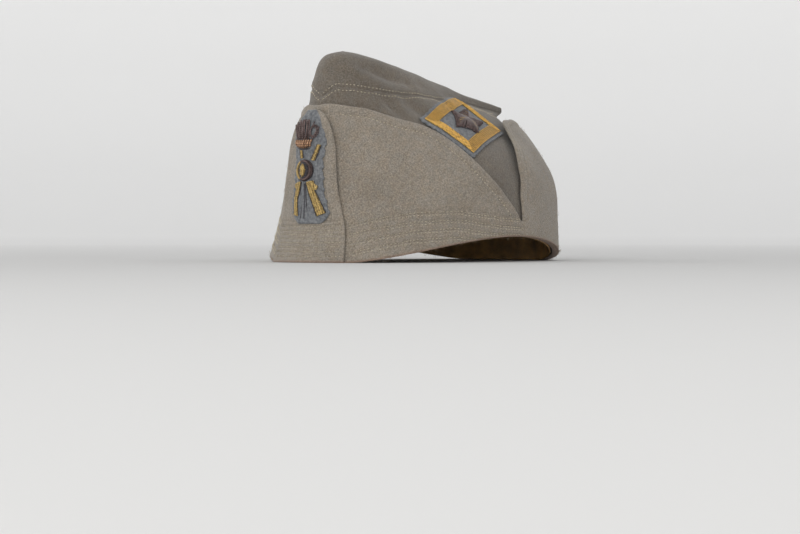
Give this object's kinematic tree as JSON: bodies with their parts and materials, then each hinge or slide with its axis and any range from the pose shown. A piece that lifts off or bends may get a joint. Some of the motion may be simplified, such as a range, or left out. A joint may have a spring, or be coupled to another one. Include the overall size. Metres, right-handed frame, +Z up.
{
  "type": "military side cap",
  "caption": "Folded wool side cap with turned-up side, rear and front flaps, an embroidered front badge and a braided rank patch.",
  "frame": {"origin": "on the floor plane under the middle of the cap's length and width", "axes": "-Y to the front badge, +X to the wearer's left, +Z up from the rim to the crown"},
  "size_m": [0.1652, 0.2134, 0.1279],
  "materials": {
    "crown_wool": "matt fulled wool, shaded grey-green",
    "flap_wool": "matt fulled wool, warm grey-green",
    "sweatband_leather": "smooth worn tan",
    "badge_felt": "matt blue-grey felt",
    "gold_thread": "metallic gold embroidery",
    "dark_thread": "dark brown-purple embroidery",
    "braid": "yellow-gold braid"
  },
  "bodies": {
    "root": {"crown_side_left": "crown_wool", "crown_side_right": "crown_wool", "crown_top": "crown_wool", "curtain": "flap_wool", "front_flap": "flap_wool", "sweatband": "sweatband_leather", "badge_backing": "badge_felt", "badge_plume": "dark_thread", "badge_plume_band": "gold_thread", "badge_boss": "dark_thread", "badge_bar_upper_left": "gold_thread", "badge_bar_upper_right": "gold_thread", "badge_bar_lower_left": "gold_thread", "badge_bar_lower_right": "gold_thread", "rank_backing": "badge_felt", "rank_border": "braid", "rank_star": "dark_thread"}
  },
  "joints": []
}
